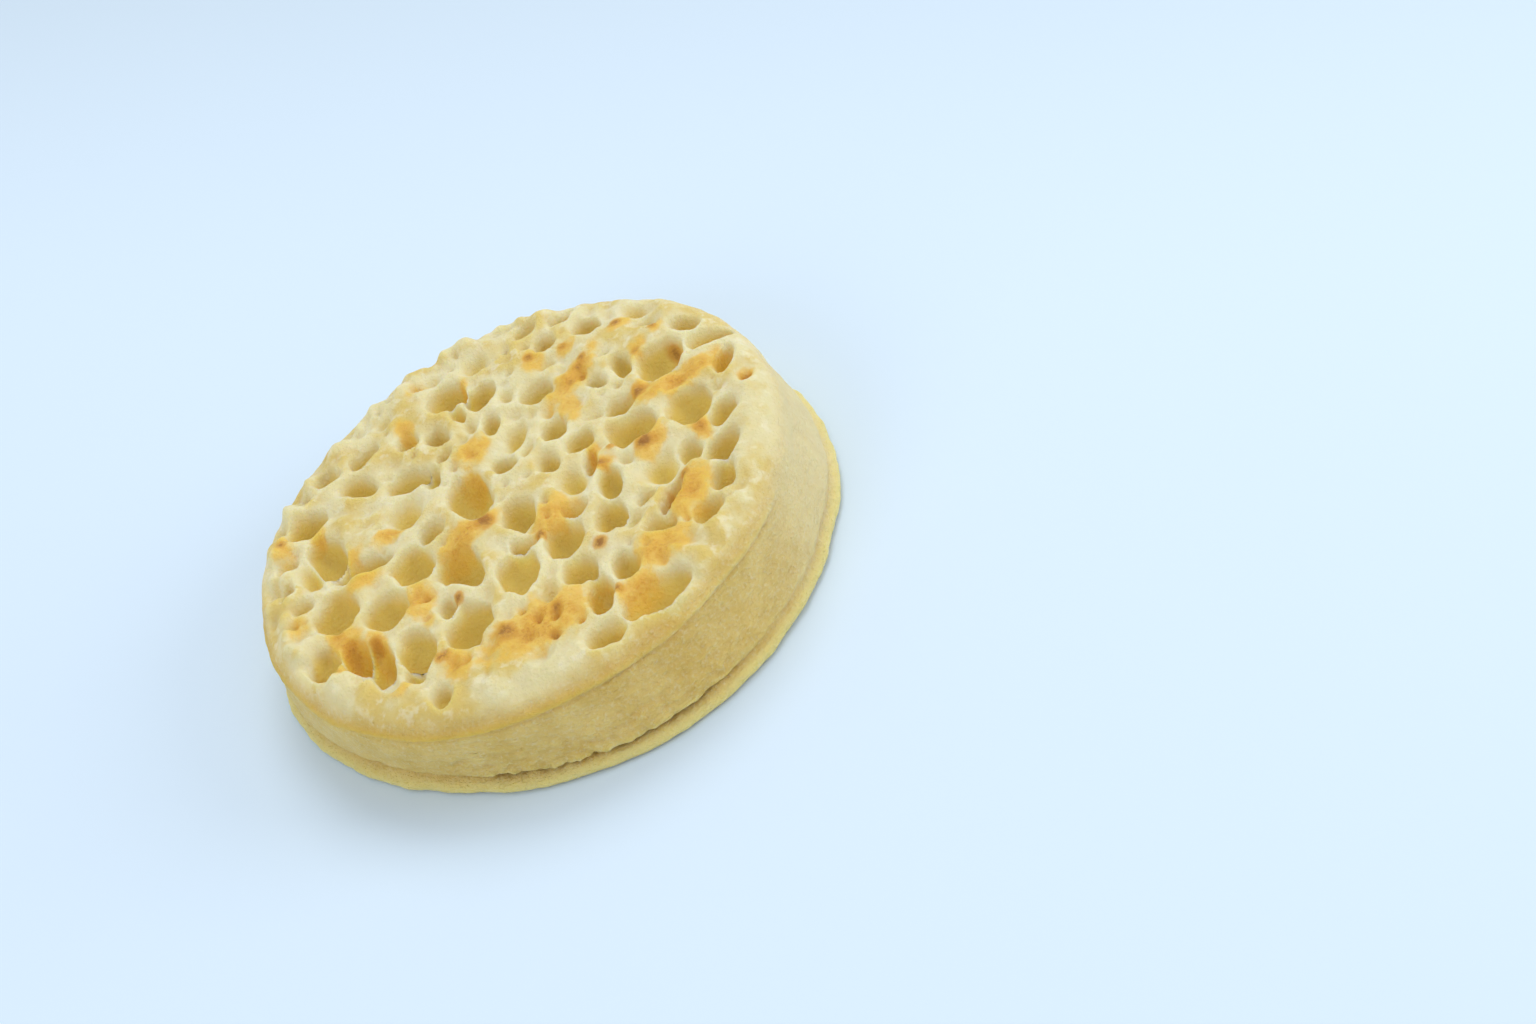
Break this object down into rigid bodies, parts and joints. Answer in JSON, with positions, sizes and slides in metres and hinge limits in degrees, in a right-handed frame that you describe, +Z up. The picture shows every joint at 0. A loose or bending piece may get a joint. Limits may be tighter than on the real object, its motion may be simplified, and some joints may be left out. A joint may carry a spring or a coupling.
{
  "type": "toasted crumpet",
  "caption": "Round toasted crumpet with a holed spongy face, a smooth rounded side and a thin browned foot, lying flat.",
  "frame": {"origin": "middle of the flat underside, on the surface that the crumpet lies on", "axes": "+Z up through the holed face; +X to the right and -Y towards the viewer of the main view"},
  "size_m": [0.0896, 0.0903, 0.0182],
  "materials": {
    "toasted_crumb": "soft matt baked batter, cream with golden toasted patches"
  },
  "bodies": {
    "root": {"crumpet": "toasted_crumb"}
  },
  "joints": []
}
